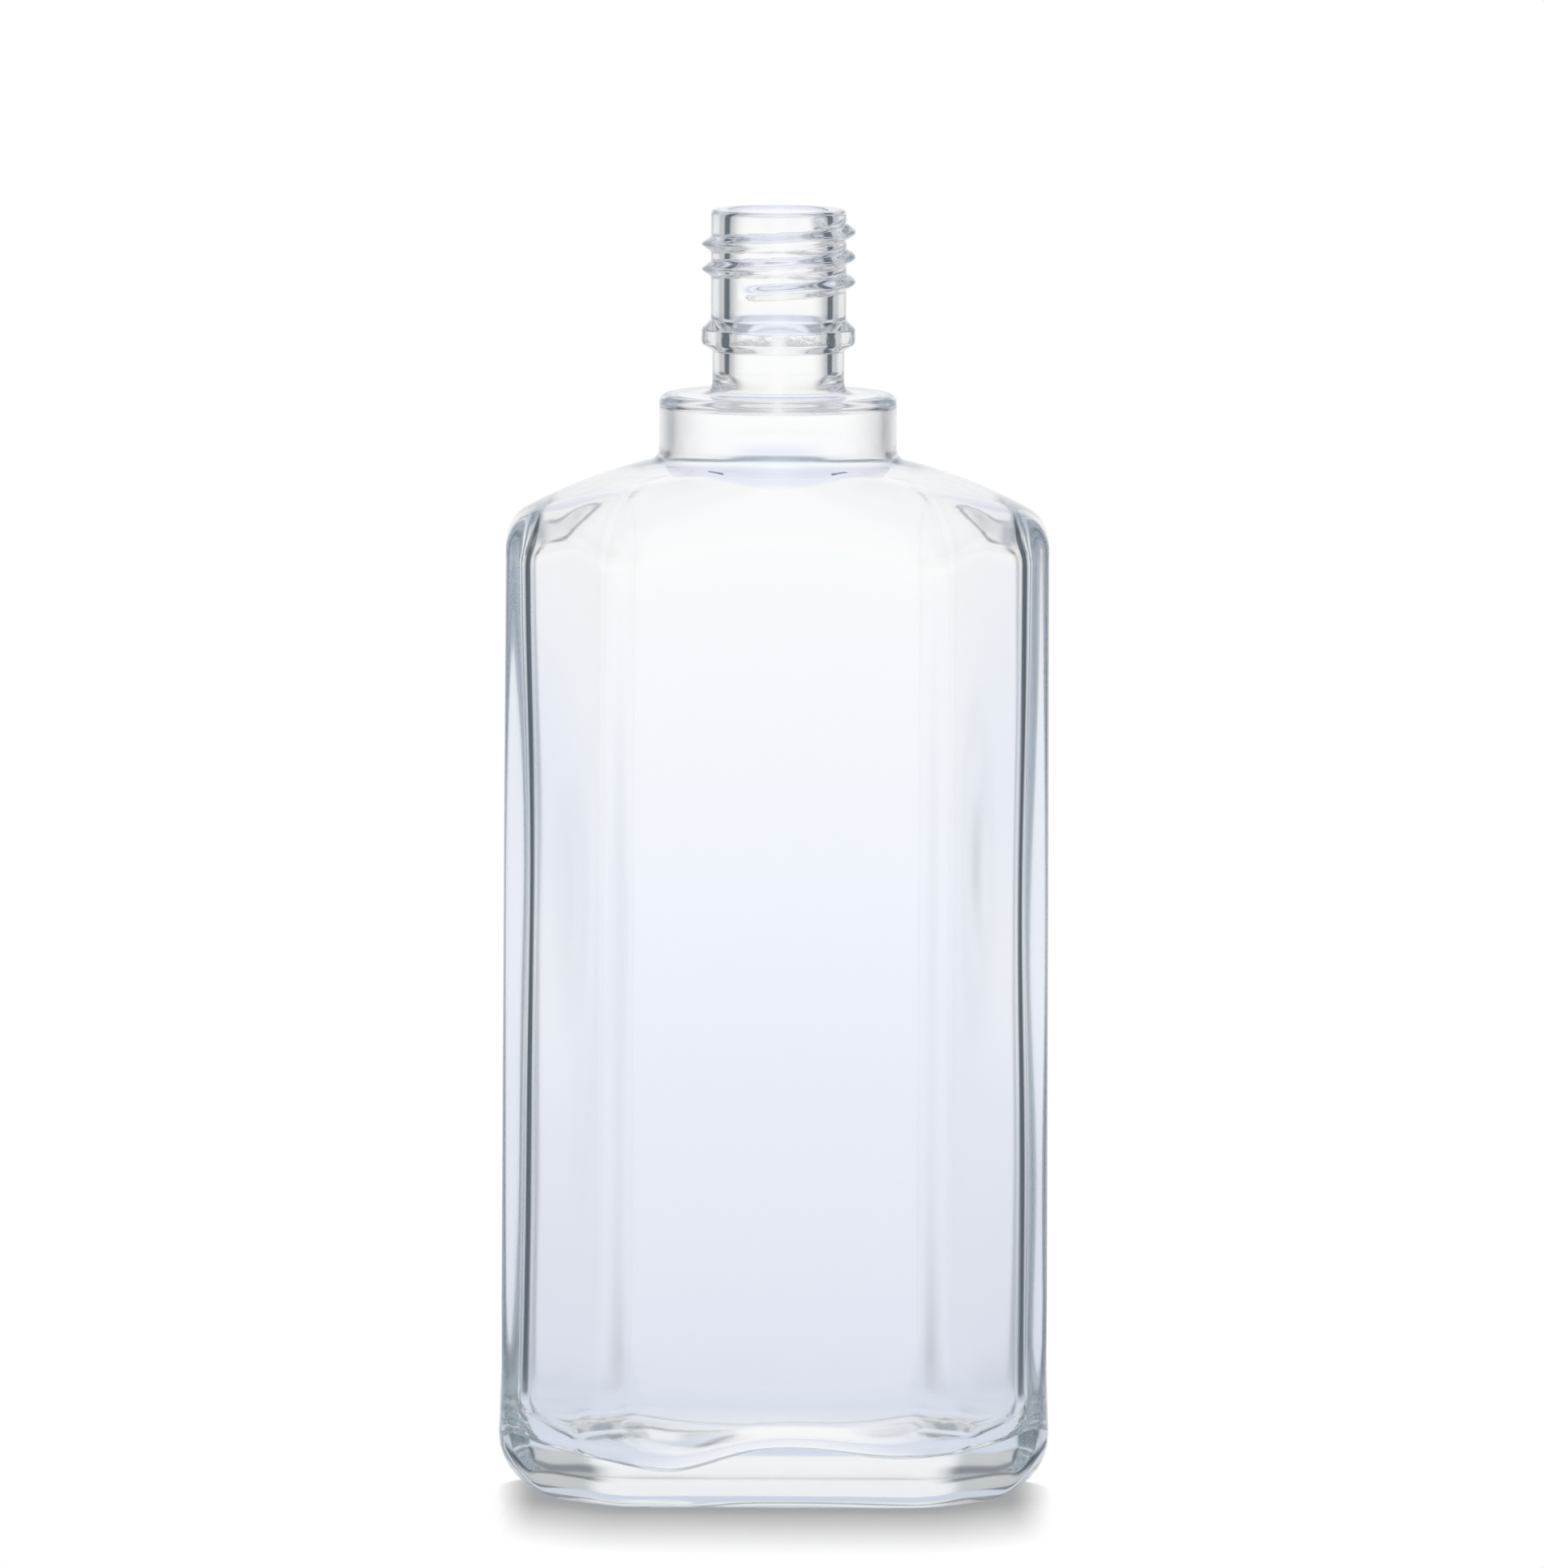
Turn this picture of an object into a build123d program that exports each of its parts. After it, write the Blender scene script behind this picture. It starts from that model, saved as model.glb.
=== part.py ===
from build123d import *
import math
import os

# A clear glass flask bottle, one hollow moulding: a flat rectangular body with
# chamfered upright corners, a domed shoulder, a round collar, and a neck with a
# bead below the stretch that carries its screw finish. Millimetres, Z up. X runs
# along the width and Y along the depth. The origin is the middle of the surface
# that the bottle stands on.

# Body, outside
body_width = 97.6
body_depth = 60.0
corner_chamfer = 19.2
edge_radius = 5.0

# Heel: a slightly wider band above the base, which runs out into the body
heel_flare = 0.5
heel_band_height = 9.0
flare_height = 16.0

# Shoulder: a spherical dome whose centre lies on the bottle's axis
shoulder_apex_height = 187.8
shoulder_radius = 95.0

# Collar: a round step between the shoulder and the neck
collar_diameter = 42.4
collar_height = 11.7
collar_edge_radius = 1.5
collar_root_slope = 1.4

# Neck and its bead
neck_diameter = 24.2
neck_height = 32.9
neck_root_slope = 1.6
rim_radius = 0.9
bead_reach = 1.65
bead_band_height = 2.6
bead_upper_slope = 1.5
bead_lower_slope = 1.4
bead_above_collar = 7.7

# Hollow: how thick the glass is, and how the hollow's corners are eased
neck_wall = 2.75
side_wall = 4.8
front_wall = 4.0
chamfer_wall = 4.4
shoulder_wall = 3.0
collar_wall = 2.1
collar_top_wall = 2.2
bore_flare_height = 3.0
bore_flare_width = 3.6
hollow_root_slope = 1.5
hollow_edge_slope = 4.0

# Base: a flat bearing ring round a shallow push-up
base_thickness = 9.0
bearing_width = 8.5
push_up_height = 2.4
push_up_slope_width = 4.0
push_up_radius = 2.0

# Easings of edges keep to these shares: of the ledge between the collar and the wide sides, and
# of the narrow sides
outer_brim_share = 0.6
outer_root_share = 0.3
outer_side_share = 0.9
hollow_brim_share = 0.65
hollow_side_share = 0.4

# A cut reaches this far past the face that it opens
overrun = 2.0

# Where the seams of the turned solids lie, in degrees from +X
seam_angle = 45


def dome_height(radius, reach):
    """The height of a dome about the shoulder's centre at a distance from the axis."""
    return shoulder_apex_height - shoulder_radius + math.sqrt(radius**2 - reach**2)


hollow_dome_radius = shoulder_radius - shoulder_wall
hollow_chamfer = corner_chamfer - side_wall - front_wall + chamfer_wall * math.sqrt(2)
hollow_side = body_depth - 2 * front_wall - 2 * hollow_chamfer
collar_hollow_radius = collar_diameter / 2 - collar_wall
collar_top = dome_height(shoulder_radius, collar_diameter / 2) + collar_height
collar_ceiling = collar_top - collar_top_wall
total_height = collar_top + neck_height
ledge = (body_depth - collar_diameter) / 2
outer_side = body_depth - 2 * corner_chamfer
brim_radius = min(edge_radius, outer_brim_share * ledge, outer_side_share * outer_side)
hollow_ease = min(hollow_edge_slope, hollow_brim_share * ledge, hollow_side_share * hollow_side)


def outline(width, depth, chamfer, height):
    """A rectangle with chamfered corners as a level face."""
    half_width = width / 2
    half_depth = depth / 2
    corners = [
        (half_width - chamfer, -half_depth),
        (half_width, chamfer - half_depth),
        (half_width, half_depth - chamfer),
        (half_width - chamfer, half_depth),
    ]
    opposite_corners = [(-x, -y) for x, y in corners]
    return Pos(0, 0, height) * make_face(Polyline(corners + opposite_corners, close=True))


def grown_outline(growth, height):
    """The body's outline with every side moved out by the same distance."""
    chamfer = corner_chamfer + growth * (2 - math.sqrt(2))
    return outline(body_width + 2 * growth, body_depth + 2 * growth, chamfer, height)


def hollow_outline(height):
    """The outline of the hollow, each side set in by its own wall."""
    return outline(body_width - 2 * side_wall, body_depth - 2 * front_wall, hollow_chamfer, height)


def domed_column(radius, floor):
    """A wide column about the bottle's axis, with the shoulder's dome on top. Its crown, which
    the neck covers, is level."""
    crown = neck_diameter / 2
    reach = math.hypot(body_width, body_depth) / 2
    middle = (crown + reach) / 2
    start = (crown, 0, dome_height(radius, crown))
    halfway = (middle, 0, dome_height(radius, middle))
    brink = (reach, 0, dome_height(radius, reach))
    dome = ThreePointArc(start, halfway, brink)
    rest = Polyline(brink, (reach, 0, floor), (0, 0, floor), (0, 0, dome_height(radius, crown)), start)
    return revolve(make_face([dome, rest]), Axis.Z)


def turned(points, radii):
    """A solid turned about the bottle's axis from points (distance out, height), both ends on it.
    Its seam is turned away from the seam of the dome, so that the two join cleanly."""
    profile = FilletPolyline([(out, 0, height) for out, height in points], radius=radii)
    return Rot(0, 0, seam_angle) * revolve(make_face([profile, Line(profile @ 1, profile @ 0)]), Axis.Z)


def turned_outside():
    """The outside of the collar, neck, bead and rim, with a foot that sinks into the shoulder."""
    root = min(collar_root_slope, outer_root_share * ledge)
    collar = collar_diameter / 2
    root_height = dome_height(shoulder_radius, collar + root)
    neck = neck_diameter / 2
    bead_bottom = collar_top + bead_above_collar
    band_bottom = bead_bottom + bead_lower_slope
    band_top = band_bottom + bead_band_height
    points = [
        (0, root_height - root),
        (collar + 2 * root, root_height - root),
        (collar, root_height + root),
        (collar, collar_top),
        (neck + neck_root_slope, collar_top),
        (neck, collar_top + neck_root_slope),
        (neck, bead_bottom),
        (neck + bead_reach, band_bottom),
        (neck + bead_reach, band_top),
        (neck, band_top + bead_upper_slope),
        (neck, total_height),
        (0, total_height),
    ]
    return turned(points, [0, 0, collar_edge_radius, 0, 0, 0, 0, 0, 0, rim_radius])


def turned_hollow():
    """The collar's hollow and the bore, with a flared foot that sinks into the body's hollow."""
    foot = collar_hollow_radius + hollow_root_slope
    foot_height = dome_height(hollow_dome_radius, collar_hollow_radius) - hollow_root_slope
    bore = neck_diameter / 2 - neck_wall
    points = [
        (0, foot_height),
        (foot, foot_height),
        (collar_hollow_radius, foot_height + 2 * hollow_root_slope),
        (collar_hollow_radius, collar_ceiling),
        (bore + bore_flare_width, collar_ceiling),
        (bore, collar_ceiling + bore_flare_height),
        (bore, total_height + overrun),
        (0, total_height + overrun),
    ]
    return turned(points, [0, 0, 0, 0, 0, 0])


def body_prism():
    """The upright sides of the bottle, as a tall prism with the flared heel."""
    flare_top = heel_band_height + flare_height
    heel = extrude(grown_outline(heel_flare, 0), heel_band_height)
    flare = loft([grown_outline(heel_flare, heel_band_height), grown_outline(0, flare_top)], ruled=True)
    straight = extrude(grown_outline(0, flare_top), total_height - flare_top)
    return heel + flare + straight


def moulded_edges(block):
    """The bottom, upright and brim edges of a body, without the level lines round its heel and
    the arcs at the dome's crown."""
    bottom = list(block.edges().group_by(Axis.Z)[0])
    upright = [e for e in block.edges() if abs(e.tangent_at(0).Z) > math.cos(math.radians(30))]
    arcs = block.edges().filter_by(GeomType.CIRCLE)
    brim = [e for e in arcs if min(math.hypot(v.X, v.Y) for v in e.vertices()) > collar_diameter / 2]
    return bottom + upright + brim


def outside():
    """The bottle as if solid, the moulded edges of its body rounded."""
    body = body_prism() & domed_column(shoulder_radius, 0)
    return fillet(moulded_edges(body), brim_radius) + turned_outside()


def hollow():
    """What is taken away inside the body, shoulder, collar and neck, the body's edges eased."""
    prism = extrude(hollow_outline(base_thickness), total_height - base_thickness)
    body = prism & domed_column(hollow_dome_radius, base_thickness)
    return chamfer(moulded_edges(body), hollow_ease) + turned_hollow()


def push_up_outline(set_in, height):
    """The body's outline set in from the heel, its corners in proportion."""
    shrink = 2 * (set_in - heel_flare)
    depth = body_depth - shrink
    return outline(body_width - shrink, depth, corner_chamfer * depth / body_depth, height)


def push_up():
    """The shallow recess in the underside, to be taken away."""
    brink = push_up_outline(bearing_width, 0)
    crown = push_up_outline(bearing_width + push_up_slope_width, push_up_height)
    recess = loft([brink, crown], ruled=True)
    return fillet(recess.edges().group_by(Axis.Z)[-1], push_up_radius)


def glass_bottle():
    """The whole bottle."""
    return outside() - hollow() - push_up()


os.makedirs("parts", exist_ok=True)
export_step(glass_bottle(), "parts/glass_bottle.step")
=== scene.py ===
"""A clear glass flask bottle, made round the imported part.

The whole bottle is one closed surface in rows. Each row is a ring of points, one for each
azimuth. The rows run from the middle of the underside up the outside, over the rim, down the
bore and the hollow to the middle of the floor inside. Shapes are in millimetres here and turned
into metres when the mesh is made. The materials and the studio are in metres.
"""

import math

import bpy
import numpy as np
from mathutils import Matrix, Vector


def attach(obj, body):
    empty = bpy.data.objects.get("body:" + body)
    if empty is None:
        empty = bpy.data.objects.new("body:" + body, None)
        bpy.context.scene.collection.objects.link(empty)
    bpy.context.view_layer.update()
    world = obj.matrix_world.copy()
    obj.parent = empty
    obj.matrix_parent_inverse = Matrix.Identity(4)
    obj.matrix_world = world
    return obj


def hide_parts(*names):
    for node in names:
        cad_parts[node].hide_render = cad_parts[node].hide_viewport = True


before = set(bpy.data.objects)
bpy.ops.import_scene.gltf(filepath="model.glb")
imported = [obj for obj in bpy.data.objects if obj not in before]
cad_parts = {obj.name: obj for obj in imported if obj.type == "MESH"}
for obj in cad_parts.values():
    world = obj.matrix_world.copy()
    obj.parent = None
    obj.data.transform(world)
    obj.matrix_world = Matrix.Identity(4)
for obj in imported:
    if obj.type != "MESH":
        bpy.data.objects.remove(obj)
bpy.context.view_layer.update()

MM = 0.001

# Columns of the mesh in a quarter of a turn: the azimuths between which they are spread, and how
# many lie there. They are close together at the two corners of the outline.
COLUMN_KNOTS = (0.0, 0.06, 0.28, 0.687, 0.944, math.pi / 2)
COLUMN_COUNTS = (3, 18, 15, 20, 23)

# Outline of the body: half sizes, the distance of its chamfers from the axis, corner radius
HALF_WIDTH = 48.8
HALF_DEPTH = 30.0
CHAMFER_DISTANCE = 42.14
CORNER_RADIUS = 5.0

# The walls lean in by this much, from one height on and over this run
DRAFT = 0.4
DRAFT_FROM = 25.0
DRAFT_RUN = 150.0

# Heel: it flares out, its radius is larger at the narrow sides, and its corners in plan are
# rounder than those of the walls, to which they blend between two heights
HEEL_FLARE = 0.42
HEEL_BAND = 9.0
HEEL_RUNOUT = 16.0
HEEL_EASING = 3.0
HEEL_RADIUS = 6.0
SIDE_HEEL_RADIUS = 11.0
HEEL_CORNER_RADIUS = 14.0
HEEL_CORNER_HEIGHTS = (8.0, 34.0)
HEEL_ANGLES = np.linspace(0, math.pi / 2, 9)

# Underside: a bearing ring round a push-up. Depths are set in from the heel.
BEARING_WIDTH = 8.5
PUSH_UP_WIDTH = 4.0
PUSH_UP_HEIGHT = 2.4
PUSH_UP_EASINGS = (0.6, 1.2)
UNDERSIDE_MIDDLE = 27.0
UNDERSIDE_CORNER_RUN = 15.0
UNDERSIDE_DEPTHS = (*np.linspace(UNDERSIDE_MIDDLE, 15, 6), *np.linspace(14, 8, 11), 7.0)

# Rows of the outside walls: shares of the way up from the heel, then heights, then shares of the
# way up to the brim
LOWER_WALL_TOP = 28.0
LOWER_WALL_SHARES = np.linspace(0.12, 1.0, 9)
WALL_TOP = 150.0
WALL_HEIGHTS = np.linspace(36, WALL_TOP, 12)
UPPER_WALL_SHARES = (0.35, 0.7)

# Shoulder: pairs of sizes are for the sides and chamfers first, for the front and back second.
# The steepest ray that finds the brim is in radians above the level.
DOME_RADIUS = 95.0
DOME_CENTRE = 187.8 - DOME_RADIUS
DOME_SHARES = (0.2, 0.4, 0.6, 0.8)
BRIM_SOFTNESS = (3.3, 9.0)
BRIM_REACH = 10.0
BRIM_STEEPEST = 1.35
BRIM_ROWS = 15
ROOT_SOFTNESS = 1.8
ROOT_REACH = 3.3
ROOT_TOP = 189.5
ROOT_ROWS = 10
ROOT_MARGIN = 0.5

# Collar, neck, bead and rim: radii, heights, and how far their edges are rounded. A rounded edge
# has at least ARC_STEPS steps, and as many for each radian.
ARC_STEPS = 4
COLLAR_RADIUS = 21.2
ROOT_PIVOT = (COLLAR_RADIUS - 6, 176.0)
COLLAR_FOOT = 191.0
COLLAR_TOP = 197.104
COLLAR_EDGE = 1.5
NECK_ROOT = 2.2
NECK_RADIUS = 12.1
LOWER_NECK_RADIUS = 11.8
BEAD_RADIUS = 13.75
BEAD_BOTTOM = 204.9
BEAD_TOP = 210.3
BEAD_SLOPES = (1.1, 1.6)
BEAD_EDGE = 0.8
BEAD_ROOT = 0.4
PLAIN_NECK_TOP = 212.4
TOTAL_HEIGHT = 230.004
RIM_FOOT = 228.95
RIM_EDGE = 0.9

# Thread: it starts in front on the left and winds right-handed up to the back
THREAD_PITCH = 4.45
THREAD_DEPTH = 1.65
THREAD_HALF_WIDTH = 1.35
THREAD_CREST = 0.35
THREAD_START_AZIMUTH = 233.0
THREAD_END_AZIMUTH = 1140.0
THREAD_START_HEIGHT = 215.55
THREAD_RUNOUT = 28.0
THREAD_HEIGHTS = np.arange(212.7, 228.9, 0.3)

# Bore and collar's hollow, which reaches down into the body's, but counts there no further down
# than COLLAR_HOLLOW_LOWEST
BORE_RADIUS = 8.8
BORE_BOTTOM = 199.6
BORE_EASING = 5.0
BORE_FLARE = 4.2
BORE_FLARE_EASING = 2.5
COLLAR_HOLLOW_RADIUS = 19.1
COLLAR_HOLLOW_EDGE = 1.2
COLLAR_HOLLOW_FOOT = 190.2
COLLAR_HOLLOW_LOWEST = 160
COLLAR_CEILING = 195.6

# Hollow of the body, and its rows: shares of the way from its collar to its brim, from its brim
# down to its heel, and from its heel in to the middle. The floor is found from FLOOR_RAY_TOP down.
INNER_DOME_RADIUS = 92.3
INNER_DOME_SHARES = (0.25, 0.5, 0.75)
INNER_HALF_WIDTH = 43.4
INNER_HALF_DEPTH = 26.0
INNER_CHAMFER_DISTANCE = 37.74
INNER_CORNER_RADIUS = 8.0
INNER_WALL_SHARES = np.linspace(0.04, 1, 34)
INNER_BRIM_SOFTNESS = (5.5, 9.5)
INNER_BRIM_REACH = 10
INNER_BRIM_STEEPEST = 1.3
INNER_ROOT_SOFTNESS = 5.0
INNER_ROOT_REACH = 2.6
INNER_ROOT_PIVOT = (8.0, 170.0)
INNER_HEEL_HEIGHT = 19.0
INNER_HEEL_ANGLES = np.linspace(0.12, 1.35, 12)
INNER_FLOOR_SOFTNESS = 4.5
INNER_FLOOR = 9.4
INNER_FLOOR_SHARES = np.linspace(0.07, 0.97, 14)
FLOOR_RAY_TOP = 30.0

# Unevenness of the blown inner wall, mostly at the narrow sides. A wave has its size, how often
# it goes round the bottle, how it turns with the height, and its phase.
LONG_WAVES = ((0.30, 2, 0.021, 1.0), (0.20, 3, -0.043, 2.2))
SHORT_WAVES = ((0.10, 5, 0.083, 0.0), (0.07, 7, -0.061, 0.7))
WAVES_IN_FRONT = 0.03
BELLY_DEPTH = 1.3
BELLY_HEIGHT = 112
BELLY_RUN = 36
WALL_SET_OUT = 0.3

# Unevenness of the floor inside. A bump has its height, then place and width along X, then along
# Y. Towards the left end the floor sinks between two distances from the middle.
INNER_FLOOR_BUMPS = ((1.3, 2, 15, -22, 20), (-5.0, -21, 12, -24, 19), (-1.6, 25, 13, -24, 16))
INNER_FLOOR_SINK = 3.0
INNER_FLOOR_SINK_RANGE = (27, 43)

# Where a column counts as front, by its share along Y, and as narrow side, by its share along X
FRONT_SHARES = (0.45, 0.70)
HEEL_SIDE_SHARES = (0.93, 0.985)
WAVY_SIDE_SHARES = (0.80, 0.985)

# The surface is found along rays, by so many halvings of their reach
HALVINGS = 40

# Glass: its surface is faintly uneven, and the band of the bead has a fine grain
GLASS_ROUGHNESS = 0.08
GLASS_IOR = 1.52
GLASS_TINT = (0.74, 0.80, 0.83, 1)
GLASS_TINT_DENSITY = 9.0
RIPPLE_SCALE = 45.0
RIPPLE_STRENGTH = 0.025
GRAIN_SCALE = 700.0
GRAIN_STRENGTH = 0.05
GRAIN_HEIGHTS = (0.2062, 0.2086)
GRAIN_RADIUS = 0.013
GRAIN_FADE = 0.0003
NOISE_DETAIL = 2.0
BUMP_DISTANCE = 0.001

# Studio as the glass sees it. Zones are given by a direction's share aside, which is the share of
# X squared in its level part, and by how far it points up.
WHITE = (1.0, 1.0, 1.0, 1)
DARK_COLOUR = (0.07, 0.095, 0.12, 1)
FAINT_ASIDE = (0.05, 0.22)
FAINT_GREY = 0.42
DARK_ASIDE = (0.36, 0.56)
SIDE_ASIDE = (0.86, 0.97)
SIDE_GREY = 0.35
DARK_BEHIND = (-0.25, 0.0)
BANDS_END_UP = (0.30, 0.50)
OVERHEAD_ASIDE = (0.01, 0.16)
OVERHEAD_FROM_UP = (0.14, 0.24)
OVERHEAD_GREY = 0.85
HIGH_UP = (0.34, 0.44)
HIGH_SHARE = 0.55
ROOM_LIGHT = 0.40
BOUNCES = 64

# Floor: where it fades out, and its painted shade as the glass sees it: colours by their share of
# its half size, darker and blue-grey near the bottle and lighter further off
FLOOR_HALF_SIZE = 3.0
FLOOR_DROP = 0.0002
FLOOR_FADE = (0.2, 0.44)
# Painted light: between these distances along X beside the bottle the floor turns plain white,
# which paints out the sides of the real shadow
SHADOW_PAINTED_OUT_SIDES = (0.0420, 0.0515)
FLOOR_COLOUR = (0.8, 0.8, 0.8, 1)
FLOOR_GLOW = 0.18
# Painted shade on the floor, seen only by the glass: the distances over which painted dark bands
# come in, then colours that are darker near the bottle
FLOOR_PAINTED_DARK_BANDS = (0.06, 0.2)
FLOOR_PAINTED_SHADE = (
    (0.006, (0.97, 0.98, 1.0, 1)),
    (0.012, (0.70, 0.745, 0.85, 1)),
    (0.10, (0.79, 0.82, 0.92, 1)),
    (0.27, (0.86, 0.89, 0.98, 1)),
    (0.42, (0.92, 0.95, 1.0, 1)),
    (0.75, (0.98, 1.0, 1.0, 1)),
)

# Lamp and camera
LAMP_WIDTH = 0.2
LAMP_LENGTH = 1.25
LAMP_POWER = 122.0
LAMP_PLACE = (0.0, 0.58, 4.0)
CAMERA_PLACE = (-0.0008, -3.6, 0.480)
CAMERA_TARGET = (-0.0008, 0.0, 0.1271)
CAMERA_ROLL = 0.25
CAMERA_LENS = 464.9
CAMERA_SENSOR = 36.0
CAMERA_CLIP = (0.1, 100)


# The surface's rings


def column_azimuths():
    """One azimuth for each column, mirrored from the first quarter of a turn."""
    quarter = []
    for low, high, count in zip(COLUMN_KNOTS, COLUMN_KNOTS[1:], COLUMN_COUNTS):
        quarter += [low + (high - low) * i / count for i in range(count)]
    quarter = np.array(quarter)
    mirrored = np.append(math.pi / 2, math.pi - quarter[:0:-1])
    half = np.concatenate([quarter, mirrored])
    return np.concatenate([half, half + math.pi])


AZIMUTH = column_azimuths()
COS = np.cos(AZIMUTH)
SIN = np.sin(AZIMUTH)


def core_distance(x, y, half_width, half_depth, chamfer):
    """Signed distance from a chamfered rectangle in plan, positive outside it."""
    x = np.abs(x)
    y = np.abs(y)
    reach = chamfer * math.sqrt(2)
    chamfer_ends = [(half_width, reach - half_width), (reach - half_depth, half_depth)]
    corners = [(half_width, 0.0), *chamfer_ends, (0.0, half_depth)]
    inside = np.maximum(np.maximum(x - half_width, y - half_depth), (x + y - reach) / math.sqrt(2))
    nearest = np.full(np.shape(x), math.inf)
    for (ax, ay), (bx, by) in zip(corners, corners[1:]):
        length = (bx - ax) ** 2 + (by - ay) ** 2
        share = np.clip(((x - ax) * (bx - ax) + (y - ay) * (by - ay)) / length, 0, 1)
        gap = np.hypot(x - ax - share * (bx - ax), y - ay - share * (by - ay))
        nearest = np.minimum(nearest, gap)
    return np.where(inside > 0, nearest, inside)


class Plan:
    """The plan of a wall: for each column, how far out an offset of its outline lies. It is read
    from a table of distances out to the farthest, and of offsets up to a margin beyond the wall."""

    farthest = 70
    distances = 1401
    margin = 3
    offset_steps = 500

    def __init__(self, half_width, half_depth, chamfer, radius):
        self.core = (half_width - radius, half_depth - radius, chamfer - radius)
        outs = np.linspace(0, self.farthest, self.distances)
        self.offsets = np.linspace(-self.core[1], radius + self.margin, self.offset_steps)
        self.table = np.empty((len(AZIMUTH), len(self.offsets)))
        for i in range(len(AZIMUTH)):
            reach = core_distance(outs * COS[i], outs * SIN[i], *self.core)
            self.table[i] = np.interp(self.offsets, reach, outs)

    def out(self, offset):
        """Distance from the axis, for each column, at an offset from the core outline."""
        offset = np.broadcast_to(offset, AZIMUTH.shape)
        return np.array([np.interp(o, self.offsets, row) for o, row in zip(offset, self.table)])

    def distance(self, out):
        """The offset, for each column, at a distance from the axis."""
        return core_distance(out * COS, out * SIN, *self.core)


OUTER = Plan(HALF_WIDTH, HALF_DEPTH, CHAMFER_DISTANCE, CORNER_RADIUS)
HEEL = Plan(HALF_WIDTH, HALF_DEPTH, CHAMFER_DISTANCE, HEEL_CORNER_RADIUS)
INNER = Plan(INNER_HALF_WIDTH, INNER_HALF_DEPTH, INNER_CHAMFER_DISTANCE, INNER_CORNER_RADIUS)


def ring(out, height):
    """A ring of points at a distance from the axis and a height, each a number or one a column."""
    out = np.broadcast_to(out, AZIMUTH.shape)
    height = np.broadcast_to(height, AZIMUTH.shape)
    return np.stack([out * COS, out * SIN, height], axis=1)


def ring_radius(row):
    """The distance from the axis of each point of a ring."""
    return np.hypot(row[:, 0], row[:, 1])


def smooth(value, low, high):
    """0 below low, 1 above high, smooth between."""
    share = np.clip((value - low) / (high - low), 0, 1)
    return share * share * (3 - 2 * share)


def by_side(values):
    """A size for each column: the first at the sides and chamfers, the second at front and back."""
    return values[0] + (values[1] - values[0]) * smooth(np.abs(SIN), *FRONT_SHARES)


def soft_max(a, b, radius):
    """The larger of two distances, the edge between them rounded."""
    corner = np.hypot(np.maximum(a + radius, 0), np.maximum(b + radius, 0))
    return np.minimum(-radius, np.maximum(a, b)) + corner


def soft_min(a, b, radius):
    """The smaller of two distances, the edge between them rounded."""
    return -soft_max(-a, -b, radius)


def solve(function, out, height, step_out, step_height, reach):
    """Where a function turns positive along a line, for each column, by halving."""
    low = np.zeros(AZIMUTH.shape)
    high = np.full(AZIMUTH.shape, reach)
    for _ in range(HALVINGS):
        middle = (low + high) / 2
        outside = function(out + middle * step_out, height + middle * step_height) > 0
        high = np.where(outside, middle, high)
        low = np.where(outside, low, middle)
    return ring(out + low * step_out, height + low * step_height)


def dome(out, radius):
    """Height of a dome of that radius at a distance from the axis."""
    return DOME_CENTRE + np.sqrt(radius**2 - out**2)


def slant(out, radius, pivot, level, steepest):
    """The angle of a ray from a pivot to a dome at a distance from the axis, for each column."""
    return np.minimum(steepest, np.arctan2(dome(out, radius) - level, out - pivot))


def root_rows(function, pivot, low_end, high_end):
    """Rows round the root of the collar, on rays from a pivot, from one end to the other."""
    first = math.atan2(low_end[1] - pivot[1], low_end[0] - pivot[0])
    final = math.atan2(high_end[1] - pivot[1], high_end[0] - pivot[0])
    rows = []
    for angle in np.linspace(first, final, ROOT_ROWS):
        aim = (math.cos(angle), math.sin(angle))
        rows.append(solve(function, *pivot, *aim, reach=30.0))
    return rows


# The outside


def draft(height):
    """How far the walls lean in at a height."""
    return DRAFT * np.clip((height - DRAFT_FROM) / DRAFT_RUN, 0, 1)


def flare(height):
    """How far the heel stands out at a height."""
    low = HEEL_BAND - HEEL_EASING
    return HEEL_FLARE * (1 - smooth(height, low, HEEL_BAND + HEEL_RUNOUT + HEEL_EASING))


def heel_radius():
    """The heel's radius for each column."""
    side = smooth(np.abs(COS), *HEEL_SIDE_SHARES)
    return HEEL_RADIUS + (SIDE_HEEL_RADIUS - HEEL_RADIUS) * side


def wall_out(offset, height):
    """Distance from the axis, for each column, at a distance from the outline of the outside wall,
    whose corners are rounder at the heel."""
    share = smooth(height, *HEEL_CORNER_HEIGHTS)
    straight = OUTER.out(CORNER_RADIUS + offset)
    if np.all(share == 1):
        return straight
    return straight * share + HEEL.out(HEEL_CORNER_RADIUS + offset) * (1 - share)


def underside():
    """From the middle of the push-up out to the bearing ring."""
    brink = BEARING_WIDTH - PUSH_UP_EASINGS[0]
    crown = BEARING_WIDTH + PUSH_UP_WIDTH + PUSH_UP_EASINGS[1]
    rows = []
    for depth in UNDERSIDE_DEPTHS:
        lift = PUSH_UP_HEIGHT * smooth(depth, brink, crown)
        outward = smooth(UNDERSIDE_MIDDLE - depth, 0, UNDERSIDE_CORNER_RUN)
        set_in = depth + (heel_radius() - HEEL_RADIUS) * outward
        rows.append(ring(wall_out(HEEL_FLARE - set_in, 0.0), lift))
    return rows


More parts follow.
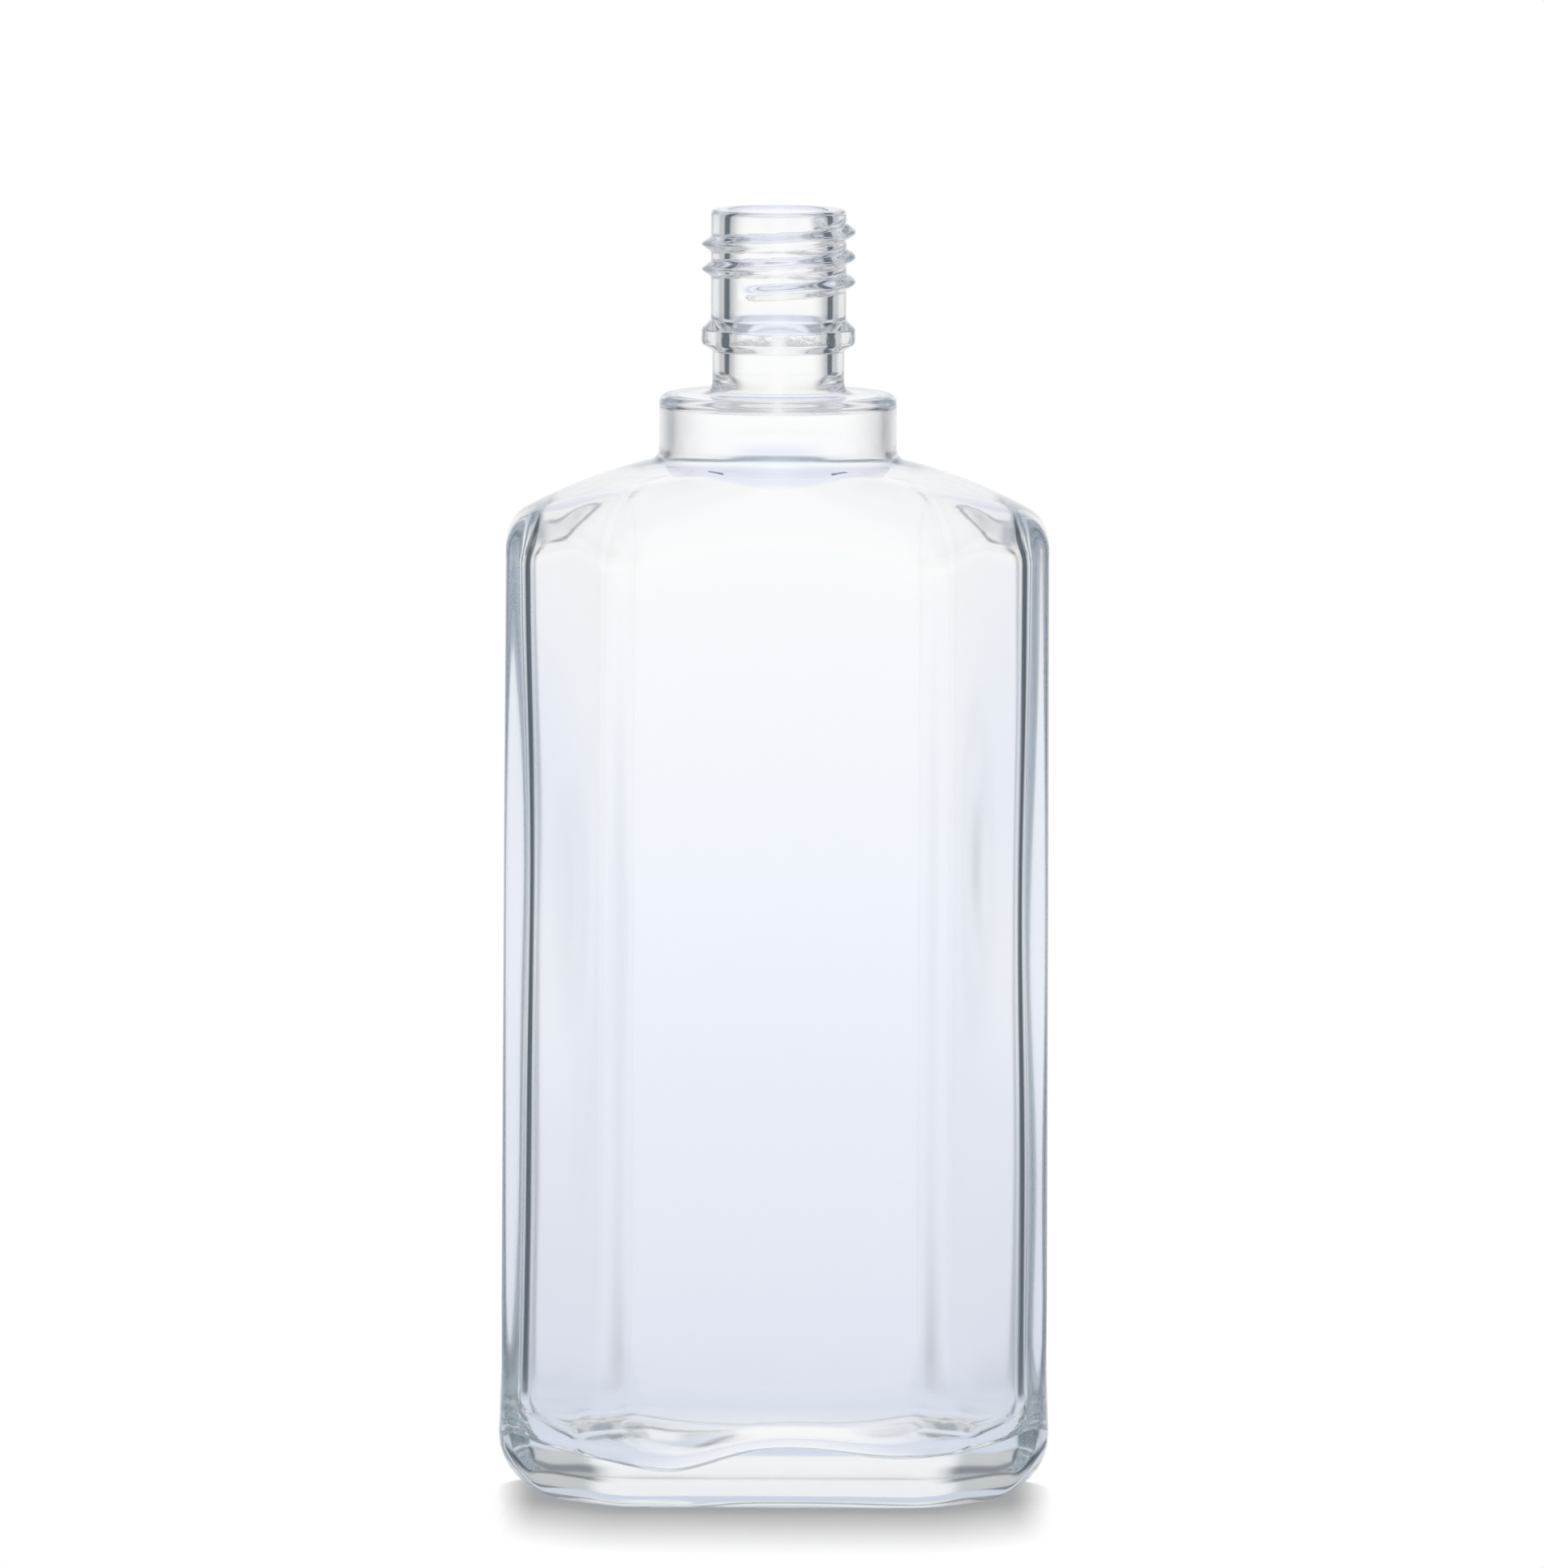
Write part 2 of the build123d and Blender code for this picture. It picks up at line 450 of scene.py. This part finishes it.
def heel_and_walls():
    """The rounded heel and the outside walls up to the brim."""
    radius = heel_radius()
    rows = []
    for angle in HEEL_ANGLES:
        height = radius * (1 - math.cos(angle))
        rows.append(ring(wall_out(HEEL_FLARE - radius * (1 - math.sin(angle)), height), height))
    for share in LOWER_WALL_SHARES:
        height = radius + (LOWER_WALL_TOP - radius) * share
        rows.append(ring(wall_out(flare(height) - draft(height), height), height))
    for height in WALL_HEIGHTS:
        rows.append(ring(wall_out(-draft(height), height), height))
    brim = dome(OUTER.out(CORNER_RADIUS), DOME_RADIUS)
    for share in UPPER_WALL_SHARES:
        height = WALL_TOP + (brim - BRIM_REACH - WALL_TOP) * share
        rows.append(ring(OUTER.out(CORNER_RADIUS - draft(height)), height))
    return rows


def outer_shape(out, height):
    """Positive outside the body, near its brim, and outside the collar."""
    wall = OUTER.distance(out) - CORNER_RADIUS + draft(height)
    top = np.hypot(out, height - DOME_CENTRE) - DOME_RADIUS
    body = soft_max(wall, top, by_side(BRIM_SOFTNESS))
    return soft_min(body, out - COLLAR_RADIUS, ROOT_SOFTNESS)


def brim_and_dome():
    """The rounded brim, and the dome up to the collar."""
    edge = OUTER.out(CORNER_RADIUS)
    pivot = OUTER.out(CORNER_RADIUS - BRIM_REACH)
    level = dome(edge, DOME_RADIUS) - BRIM_REACH
    root = COLLAR_RADIUS + ROOT_REACH
    last_angle = slant(root + ROOT_MARGIN, DOME_RADIUS, pivot, level, BRIM_STEEPEST)
    rows = []
    for share in np.linspace(0.0, 1.0, BRIM_ROWS):
        angle = last_angle * share
        rows.append(solve(outer_shape, pivot, level, np.cos(angle), np.sin(angle), reach=25.0))
    last = ring_radius(rows[-1])
    for share in DOME_SHARES:
        out = last + (root - last) * share
        rows.append(solve(outer_shape, out, WALL_TOP, 0.0, 1.0, reach=45.0))
    low_end = (root, dome(root, DOME_RADIUS))
    return rows + root_rows(outer_shape, ROOT_PIVOT, low_end, (COLLAR_RADIUS, ROOT_TOP))


def rounded_corner(before, corner, after, radius):
    """Points of the arc that rounds a corner between its neighbours."""
    corner = np.array(corner, float)
    towards = np.array(before) - corner
    away = np.array(after) - corner
    towards /= np.linalg.norm(towards)
    away /= np.linalg.norm(away)
    half = math.acos(np.clip(towards @ away, -1, 1)) / 2
    inward = (towards + away) / np.linalg.norm(towards + away)
    middle = corner + inward * radius / math.sin(half)
    start = corner + towards * radius / math.tan(half) - middle
    end = corner + away * radius / math.tan(half) - middle
    turn = math.atan2(start[0] * end[1] - start[1] * end[0], start @ end)
    count = max(ARC_STEPS, int(abs(turn) * ARC_STEPS))
    points = []
    for i in range(count + 1):
        cos = math.cos(turn * i / count)
        sin = math.sin(turn * i / count)
        out = middle[0] + (start[0] * cos - start[1] * sin)
        points.append((out, middle[1] + (start[0] * sin + start[1] * cos)))
    return points


def rounded_profile(points, spacing):
    """Points along a profile of (out, height, radius) corners, all rounded but its two ends."""
    made = [points[0][:2]]
    for before, corner, after in zip(points, points[1:], points[2:]):
        made += rounded_corner(before[:2], corner[:2], after[:2], corner[2])
    made.append(points[-1][:2])
    filled = [made[0]]
    for a, b in zip(made, made[1:]):
        count = max(1, math.ceil(math.dist(a, b) / spacing))
        stride = np.array(b) - np.array(a)
        filled += [tuple(np.array(a) + stride * (i + 1) / count) for i in range(count)]
    return filled


def thread(height):
    """How far the thread stands out at a height, for each column."""
    lift = np.zeros(AZIMUTH.shape)
    degrees = np.degrees(AZIMUTH)
    highest = math.hypot(1, THREAD_CREST) - THREAD_CREST
    for turn in range(math.ceil(THREAD_END_AZIMUTH / 360)):
        at = degrees + 360 * turn
        centre = THREAD_START_HEIGHT + THREAD_PITCH * (at - THREAD_START_AZIMUTH) / 360
        across = np.clip(np.abs(height - centre) / THREAD_HALF_WIDTH, 0, 1)
        shape = 1 - (np.hypot(across, THREAD_CREST) - THREAD_CREST) / highest
        ends = smooth(at, THREAD_START_AZIMUTH, THREAD_START_AZIMUTH + THREAD_RUNOUT)
        ends = ends * (1 - smooth(at, THREAD_END_AZIMUTH - THREAD_RUNOUT, THREAD_END_AZIMUTH))
        lift = np.maximum(lift, THREAD_DEPTH * shape * ends)
    return lift


def collar_and_neck():
    """The collar, the neck with its bead and thread, the rim, the bore and the collar's hollow."""
    outside = [
        (COLLAR_RADIUS, COLLAR_FOOT, 0),
        (COLLAR_RADIUS, COLLAR_TOP, COLLAR_EDGE),
        (LOWER_NECK_RADIUS, COLLAR_TOP, NECK_ROOT),
        (LOWER_NECK_RADIUS, BEAD_BOTTOM, BEAD_ROOT),
        (BEAD_RADIUS, BEAD_BOTTOM + BEAD_SLOPES[0], BEAD_EDGE),
        (BEAD_RADIUS, BEAD_TOP - BEAD_SLOPES[1], BEAD_EDGE),
        (NECK_RADIUS, BEAD_TOP, BEAD_ROOT),
        (NECK_RADIUS, PLAIN_NECK_TOP, 0),
    ]
    inside = [
        (NECK_RADIUS, RIM_FOOT, 0),
        (NECK_RADIUS, TOTAL_HEIGHT, RIM_EDGE),
        (BORE_RADIUS, TOTAL_HEIGHT, RIM_EDGE),
        (BORE_RADIUS, BORE_BOTTOM, BORE_EASING),
        (BORE_RADIUS + BORE_FLARE, COLLAR_CEILING, BORE_FLARE_EASING),
        (COLLAR_HOLLOW_RADIUS, COLLAR_CEILING, COLLAR_HOLLOW_EDGE),
        (COLLAR_HOLLOW_RADIUS, COLLAR_HOLLOW_FOOT, 0),
    ]
    rows = [ring(out, height) for out, height in rounded_profile(outside, spacing=2.0)]
    rows += [ring(NECK_RADIUS + thread(height), height) for height in THREAD_HEIGHTS]
    return rows + [ring(out, height) for out, height in rounded_profile(inside, spacing=2.2)]


# The hollow of the body


def sum_of_waves(waves, height):
    """The sum of some waves at a height, for each column."""
    return sum(
        size * np.sin(AZIMUTH * rounds + height * climb + phase)
        for size, rounds, climb, phase in waves
    )


def wall_unevenness(height):
    """How far the blown inner wall stands in (positive) at a height, for each column."""
    side = smooth(np.abs(COS), *WAVY_SIDE_SHARES)
    long_waves = sum_of_waves(LONG_WAVES, height) * (WAVES_IN_FRONT + (1 - WAVES_IN_FRONT) * side)
    short_waves = sum_of_waves(SHORT_WAVES, height) * side
    belly = BELLY_DEPTH * np.exp(-(((height - BELLY_HEIGHT) / BELLY_RUN) ** 2)) * side
    return long_waves + short_waves + belly - WALL_SET_OUT


def floor_height(out):
    """Height of the floor inside, with its slow unevenness."""
    x = out * COS
    y = out * SIN
    height = INNER_FLOOR
    for lift, middle_x, width_x, middle_y, width_y in INNER_FLOOR_BUMPS:
        along_x = (x - middle_x) / width_x
        along_y = (y - middle_y) / width_y
        height = height + lift * np.exp(-(along_x**2 + along_y**2))
    return height - INNER_FLOOR_SINK * smooth(-x, *INNER_FLOOR_SINK_RANGE)


def inner_shape(out, height):
    """Positive in the glass, negative in the hollow of the body."""
    wall = INNER.distance(out) - INNER_CORNER_RADIUS + wall_unevenness(height)
    top = np.hypot(out, height - DOME_CENTRE) - INNER_DOME_RADIUS
    bottom = floor_height(out) - height
    body = soft_max(wall, top, by_side(INNER_BRIM_SOFTNESS))
    body = soft_max(body, bottom, INNER_FLOOR_SOFTNESS)
    far_below_collar = 1000 * (height < COLLAR_HOLLOW_LOWEST)
    return soft_min(body, out - COLLAR_HOLLOW_RADIUS + far_below_collar, INNER_ROOT_SOFTNESS)


def hollow():
    """The hollow's dome, brim, walls and floor."""
    edge = INNER.out(INNER_CORNER_RADIUS)
    pivot = INNER.out(INNER_CORNER_RADIUS - INNER_BRIM_REACH)
    level = dome(edge, INNER_DOME_RADIUS) - INNER_BRIM_REACH
    root = COLLAR_HOLLOW_RADIUS + INNER_ROOT_REACH
    first_angle = slant(root + ROOT_MARGIN, INNER_DOME_RADIUS, pivot, level, INNER_BRIM_STEEPEST)
    brim = []
    for share in np.linspace(1.0, 0.0, BRIM_ROWS):
        angle = first_angle * share
        brim.append(solve(inner_shape, pivot, level, np.cos(angle), np.sin(angle), reach=25.0))
    first = ring_radius(brim[0])
    low_end = (root, dome(root, INNER_DOME_RADIUS))
    rows = root_rows(inner_shape, INNER_ROOT_PIVOT, (COLLAR_HOLLOW_RADIUS, ROOT_TOP), low_end)
    for share in INNER_DOME_SHARES:
        out = root + (first - root) * share
        rows.append(solve(inner_shape, out, COLLAR_HOLLOW_LOWEST + 1.0, 0.0, 1.0, reach=30.0))
    rows += brim
    for share in INNER_WALL_SHARES:
        height = level + (INNER_HEEL_HEIGHT - level) * share
        rows.append(solve(inner_shape, pivot, height, 1.0, 0.0, reach=20.0))
    return rows + hollow_floor(pivot)


def hollow_floor(pivot):
    """The hollow's rounded heel and its floor in to the middle."""
    rows = []
    for angle in INNER_HEEL_ANGLES:
        aim = (math.cos(angle), -math.sin(angle))
        rows.append(solve(inner_shape, pivot, INNER_HEEL_HEIGHT, *aim, reach=25.0))
    last = ring_radius(rows[-1])
    for share in INNER_FLOOR_SHARES:
        out = last * (1 - share)
        rows.append(solve(inner_shape, out, FLOOR_RAY_TOP, 0.0, -1.0, reach=28.0))
    return rows


def make_mesh(name, rows):
    """A closed mesh from rings, a point at either end."""
    columns = len(AZIMUTH)
    first = np.array([[0.0, 0.0, rows[0][:, 2].mean()]])
    last = np.array([[0.0, 0.0, rows[-1][:, 2].mean()]])
    points = np.concatenate([first] + rows + [last]) * MM
    faces = []
    for row in range(len(rows) - 1):
        low = 1 + row * columns
        high = low + columns
        for column in range(columns):
            following = (column + 1) % columns
            faces.append((low + column, low + following, high + following, high + column))
    top = 1 + (len(rows) - 1) * columns
    for column in range(columns):
        following = (column + 1) % columns
        faces.append((0, 1 + following, 1 + column))
        faces.append((len(points) - 1, top + column, top + following))
    mesh = bpy.data.meshes.new(name)
    mesh.from_pydata(points.tolist(), [], faces)
    mesh.shade_smooth()
    made = bpy.data.objects.new(name, mesh)
    bpy.context.scene.collection.objects.link(made)
    return made


# Materials


class Nodes:
    """Short helpers to build a node tree."""

    def __init__(self, tree):
        self.tree = tree
        tree.nodes.clear()

    def add(self, kind, **values):
        """A new node, with its properties or its inputs set."""
        node = self.tree.nodes.new(kind)
        for key, value in values.items():
            if hasattr(node, key):
                setattr(node, key, value)
            else:
                node.inputs[key.replace("_", " ")].default_value = value
        return node

    def link(self, source, target):
        """Link an output to an input."""
        self.tree.links.new(source, target)

    def math(self, operation, a, b=None):
        """The result of a sum on numbers or outputs."""
        node = self.tree.nodes.new("ShaderNodeMath")
        node.operation = operation
        for socket, value in zip(node.inputs, (a, b)):
            if value is None:
                continue
            if isinstance(value, (int, float)):
                socket.default_value = value
            else:
                self.link(value, socket)
        return node.outputs[0]

    def band(self, value, low, high, to_low=0.0, to_high=1.0):
        """A value mapped smoothly from one range to another."""
        limits = {"From_Min": low, "From_Max": high, "To_Min": to_low, "To_Max": to_high}
        node = self.add("ShaderNodeMapRange", interpolation_type="SMOOTHSTEP", **limits)
        self.link(value, node.inputs["Value"])
        return node.outputs[0]

    def noise(self, where, scale):
        """Noise at a place."""
        node = self.add("ShaderNodeTexNoise", Scale=scale, Detail=NOISE_DETAIL)
        self.link(where, node.inputs["Vector"])
        return node.outputs[0]

    def bump(self, height, strength):
        """A bump node on a height."""
        node = self.add("ShaderNodeBump", Strength=strength, Distance=BUMP_DISTANCE)
        self.link(height, node.inputs["Height"])
        return node

    def split(self, vector):
        """The X, Y and Z of a vector."""
        node = self.add("ShaderNodeSeparateXYZ")
        self.link(vector, node.inputs[0])
        return node.outputs["X"], node.outputs["Y"], node.outputs["Z"]

    def blend(self, share, first, second):
        """A mix of two shaders."""
        node = self.add("ShaderNodeMixShader")
        for socket, value in zip(node.inputs, (share, first, second)):
            self.link(value, socket)
        return node.outputs[0]

    def level_squared(self, x, y):
        """The square of the level part of a vector."""
        return self.math("ADD", self.math("MULTIPLY", x, x), self.math("MULTIPLY", y, y))

    def share_aside(self, x, y):
        """The share of X squared in the level part of a direction."""
        return self.math("DIVIDE", self.math("MULTIPLY", x, x), self.level_squared(x, y))


def bead_mask(n, x, y, z):
    """1 on the band of the bead, 0 elsewhere."""
    low, high = GRAIN_HEIGHTS
    above = n.band(z, low - GRAIN_FADE, low)
    below = n.band(z, high, high + GRAIN_FADE, 1.0, 0.0)
    radius = n.math("SQRT", n.level_squared(x, y))
    outer = n.band(radius, GRAIN_RADIUS, GRAIN_RADIUS + GRAIN_FADE)
    return n.math("MULTIPLY", n.math("MULTIPLY", above, below), outer)


def glass_material():
    """Clear flint glass: slightly uneven, faintly blue-grey where it is thick."""
    material = bpy.data.materials.new("clear_glass")
    material.use_nodes = True
    n = Nodes(material.node_tree)
    place = n.add("ShaderNodeTexCoord").outputs["Object"]
    ripple = n.bump(n.noise(place, RIPPLE_SCALE), RIPPLE_STRENGTH)
    grain = n.math("MULTIPLY", n.noise(place, GRAIN_SCALE), bead_mask(n, *n.split(place)))
    surface = n.bump(grain, GRAIN_STRENGTH)
    n.link(ripple.outputs[0], surface.inputs["Normal"])
    shader = n.add(
        "ShaderNodeBsdfPrincipled",
        Base_Color=WHITE,
        Roughness=GLASS_ROUGHNESS,
        IOR=GLASS_IOR,
        Transmission_Weight=1.0,
    )
    n.link(surface.outputs[0], shader.inputs["Normal"])
    absorb = n.add("ShaderNodeVolumeAbsorption", Color=GLASS_TINT, Density=GLASS_TINT_DENSITY)
    output = n.add("ShaderNodeOutputMaterial")
    n.link(shader.outputs[0], output.inputs["Surface"])
    n.link(absorb.outputs[0], output.inputs["Volume"])
    return material


def dark_bands(n, x, y):
    """How dark the studio is, by the level direction (x, y) of what is seen: a dark upright band
    at either side behind the bottle, fainter nearer the middle and greyer further out."""
    aside = n.share_aside(x, y)
    behind = n.band(n.math("DIVIDE", y, n.math("SQRT", n.level_squared(x, y))), *DARK_BEHIND)
    faint = n.band(aside, *FAINT_ASIDE, 0.0, FAINT_GREY)
    dark = n.math("MAXIMUM", faint, n.band(aside, *DARK_ASIDE))
    beyond = n.band(aside, *SIDE_ASIDE, 1.0, SIDE_GREY)
    return n.math("MULTIPLY", n.math("MULTIPLY", dark, beyond), behind)


def dark_overhead(n, x, y, z):
    """How dark the studio is overhead, off its middle. It is less dark high up."""
    aside = n.band(n.share_aside(x, y), *OVERHEAD_ASIDE)
    raised = n.band(z, *OVERHEAD_FROM_UP, 0.0, OVERHEAD_GREY)
    high = n.band(z, *HIGH_UP, 1.0, HIGH_SHARE)
    return n.math("MULTIPLY", n.math("MULTIPLY", aside, raised), high)


def darkened(n, dark, colour=None):
    """A colour, white if none is given, mixed with the dark colour by a share."""
    shade = n.add("ShaderNodeMix", data_type="RGBA")
    shade.inputs["A"].default_value = WHITE
    shade.inputs["B"].default_value = DARK_COLOUR
    if colour is not None:
        n.link(colour, shade.inputs["A"])
    n.link(dark, shade.inputs["Factor"])
    return shade.outputs["Result"]


def make_world():
    """White to the camera. To the glass it is a white studio with dark upright bands and a dark
    zone overhead, which give the glass its dark edges. It lights the floor a little."""
    world = bpy.data.worlds.new("studio")
    bpy.context.scene.world = world
    world.use_nodes = True
    n = Nodes(world.node_tree)
    rays = n.add("ShaderNodeLightPath")
    x, y, z = n.split(n.add("ShaderNodeTexCoord").outputs["Generated"])
    bands = n.math("MULTIPLY", dark_bands(n, x, y), n.band(z, *BANDS_END_UP, 1.0, 0.0))
    seen = n.add("ShaderNodeBackground", Color=WHITE)
    studio = n.add("ShaderNodeBackground")
    dark = n.math("MAXIMUM", bands, dark_overhead(n, x, y, z))
    n.link(darkened(n, dark), studio.inputs["Color"])
    room = n.add("ShaderNodeBackground", Strength=ROOM_LIGHT)
    looked_at = n.blend(rays.outputs["Is Camera Ray"], studio.outputs[0], seen.outputs[0])
    lit = n.blend(rays.outputs["Is Diffuse Ray"], looked_at, room.outputs[0])
    n.link(lit, n.add("ShaderNodeOutputWorld").inputs["Surface"])


def floor_plane():
    """The floor's mesh, just below the bottle."""
    half = FLOOR_HALF_SIZE
    mesh = bpy.data.meshes.new("floor")
    corners = [(-half, -half, 0), (half, -half, 0), (half, half, 0), (-half, half, 0)]
    mesh.from_pydata(corners, [], [(0, 1, 2, 3)])
    floor = bpy.data.objects.new("floor", mesh)
    floor.location.z = -FLOOR_DROP
    bpy.context.scene.collection.objects.link(floor)
    return floor


def painted_floor_through_glass(n, x, y, distance):
    """What the glass sees of the floor, all painted shade: colours by the distance, darker and
    blue-grey near the bottle and lighter further off, and the studio's dark bands painted on it by
    place.
    """
    # Painted shade: an emitted colour that is darker and blue-grey near the bottle, lighter with
    # the distance
    shade = n.add("ShaderNodeValToRGB")
    stops = shade.color_ramp.elements
    for share, colour in FLOOR_PAINTED_SHADE:
        stops.new(share).color = colour
    stops.remove(stops[0])
    stops.remove(stops[-1])
    n.link(n.math("DIVIDE", distance, FLOOR_HALF_SIZE), shade.inputs["Fac"])
    # Painted dark bands on the floor, laid out by place round the bottle
    dark = n.math("MULTIPLY", dark_bands(n, x, y), n.band(distance, *FLOOR_PAINTED_DARK_BANDS))
    seen = n.add("ShaderNodeEmission")
    n.link(darkened(n, dark, shade.outputs["Color"]), seen.inputs["Color"])
    return seen.outputs[0]


def make_floor():
    """A white floor that shows the bottle's soft shadow and fades out all round. Close beside the
    bottle it turns plain white by its place, painted light that cuts off the sides of the real
    shadow.
    Through the glass it is seen without the shadow."""
    floor = floor_plane()
    material = bpy.data.materials.new("floor_white_with_painted_shade")
    material.use_nodes = True
    n = Nodes(material.node_tree)
    rays = n.add("ShaderNodeLightPath")
    place = n.add("ShaderNodeTexCoord").outputs["Object"]
    x, y, _ = n.split(place)
    length = n.add("ShaderNodeVectorMath", operation="LENGTH")
    n.link(place, length.inputs[0])
    distance = length.outputs["Value"]
    # Painted light: beside the bottle the floor fades to plain white, which cuts off the sides of
    # its shadow
    beside = n.band(n.math("ABSOLUTE", x), *SHADOW_PAINTED_OUT_SIDES)
    faded = n.math("MAXIMUM", beside, n.band(distance, *FLOOR_FADE))
    lit = n.add("ShaderNodeBsdfDiffuse", Color=FLOOR_COLOUR)
    glow = n.add("ShaderNodeEmission", Strength=FLOOR_GLOW)
    both = n.add("ShaderNodeAddShader")
    n.link(lit.outputs[0], both.inputs[0])
    n.link(glow.outputs[0], both.inputs[1])
    plain = n.blend(faded, both.outputs[0], n.add("ShaderNodeBsdfTransparent").outputs[0])
    # Painted shade and painted dark bands, seen only through the glass
    through_glass = painted_floor_through_glass(n, x, y, distance)
    shown = n.blend(rays.outputs["Is Transmission Ray"], plain, through_glass)
    n.link(shown, n.add("ShaderNodeOutputMaterial").inputs["Surface"])
    floor.data.materials.append(material)


def make_lamp():
    """A long lamp above the bottle that reaches far behind it, so that the shadow in front fades
    out slowly and its sides stay close to the bottle."""
    data = bpy.data.lights.new("lamp", "AREA")
    data.shape = "RECTANGLE"
    data.size = LAMP_WIDTH
    data.size_y = LAMP_LENGTH
    data.energy = LAMP_POWER
    lamp = bpy.data.objects.new("lamp", data)
    bpy.context.scene.collection.objects.link(lamp)
    lamp.location = LAMP_PLACE
    lamp.visible_glossy = False
    lamp.visible_transmission = False


def make_camera():
    """The photo's camera: far away, a little above, the bottle leaning very slightly."""
    data = bpy.data.cameras.new("camera")
    data.sensor_width = CAMERA_SENSOR
    data.lens = CAMERA_LENS
    data.clip_start, data.clip_end = CAMERA_CLIP
    camera = bpy.data.objects.new("camera", data)
    bpy.context.scene.collection.objects.link(camera)
    place = Vector(CAMERA_PLACE)
    turn = (place - Vector(CAMERA_TARGET)).to_track_quat("Z", "Y").to_matrix().to_4x4()
    roll = Matrix.Rotation(math.radians(CAMERA_ROLL), 4, "Z")
    camera.matrix_world = Matrix.Translation(place) @ turn @ roll
    bpy.context.scene.camera = camera


scene = bpy.context.scene
scene.view_settings.view_transform = "Standard"
scene.cycles.max_bounces = BOUNCES
scene.cycles.transmission_bounces = BOUNCES
scene.cycles.glossy_bounces = BOUNCES
outer_rows = underside() + heel_and_walls() + brim_and_dome()
bottle = make_mesh("bottle_glass", outer_rows + collar_and_neck() + hollow())
bottle.data.materials.append(glass_material())
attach(bottle, "root")
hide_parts("glass_bottle")
make_world()
make_floor()
make_lamp()
make_camera()
